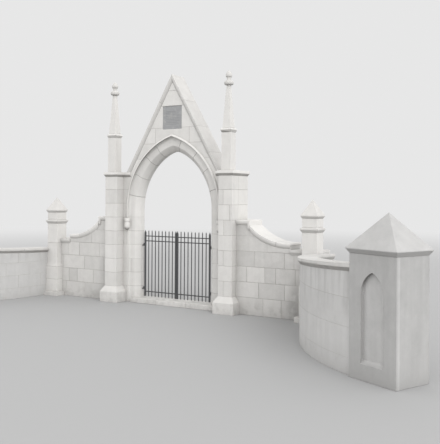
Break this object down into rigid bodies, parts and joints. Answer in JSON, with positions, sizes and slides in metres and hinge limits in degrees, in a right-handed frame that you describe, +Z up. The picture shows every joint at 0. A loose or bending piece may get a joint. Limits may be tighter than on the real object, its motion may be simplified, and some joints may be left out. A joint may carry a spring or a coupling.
{
  "type": "churchyard gateway",
  "caption": "Gabled pointed-arch stone gateway with pinnacled piers and iron gates, between swept wing walls, outer piers and curved walls that end in capped piers.",
  "frame": {"origin": "middle of the opening, on the front face of the arch wall, at the level floor under the threshold", "axes": "+X along the gateway towards the right pier as seen from outside, +Y back through the opening into the churchyard, +Z up"},
  "size_m": [12.4788, 4.1948, 4.9485],
  "materials": {
    "ashlar": "fine-jointed pale ashlar, weathered",
    "dressed_stone": "smooth dressed stone, weathered",
    "rendered_stone": "smooth lime render lined out as stone, weathered",
    "plaque_slate": "dark slate, honed, bare",
    "ironwork": "black paint on wrought iron"
  },
  "bodies": {
    "gateway": {"left_gate_pier": "ashlar", "right_gate_pier": "ashlar", "pier_plinths": "ashlar", "arch_ring_left": "ashlar", "arch_ring_right": "ashlar", "gable_masonry": "ashlar", "hood_mould_left": "dressed_stone", "hood_mould_right": "dressed_stone", "hood_stops": "dressed_stone", "gable_coping_left": "dressed_stone", "gable_coping_right": "dressed_stone", "gable_plaque": "plaque_slate", "pier_slabs": "dressed_stone", "pinnacle_shafts": "ashlar", "pinnacle_cornices": "dressed_stone", "pinnacle_spires": "ashlar", "pinnacle_finials": "dressed_stone", "threshold": "ashlar", "left_wing_wall": "ashlar", "right_wing_wall": "ashlar", "left_wing_coping": "dressed_stone", "right_wing_coping": "dressed_stone", "step_copings": "dressed_stone", "left_outer_pier": "ashlar", "right_outer_pier": "ashlar", "string_courses": "dressed_stone", "outer_pier_caps": "dressed_stone", "left_curved_wall": "rendered_stone", "right_curved_wall": "rendered_stone", "left_curved_coping": "dressed_stone", "right_curved_coping": "dressed_stone", "left_end_pier": "rendered_stone", "right_end_pier": "rendered_stone", "end_pier_caps": "dressed_stone", "hinge_hooks": "ironwork"},
    "left_gate": {"left_gate_stiles": "ironwork", "left_gate_rails": "ironwork", "left_gate_bars": "ironwork"},
    "right_gate": {"right_gate_stiles": "ironwork", "right_gate_rails": "ironwork", "right_gate_bars": "ironwork"}
  },
  "joints": [
    {"name": "left_gate_hinge", "type": "hinge", "parent": "gateway", "child": "left_gate", "pos_m": [-0.878, 0.2, 0.3], "axis": [0, 0, 1], "range_deg": [0, 90]},
    {"name": "right_gate_hinge", "type": "hinge", "parent": "gateway", "child": "right_gate", "pos_m": [0.878, 0.2, 0.3], "axis": [0, 0, -1], "range_deg": [0, 90]}
  ]
}
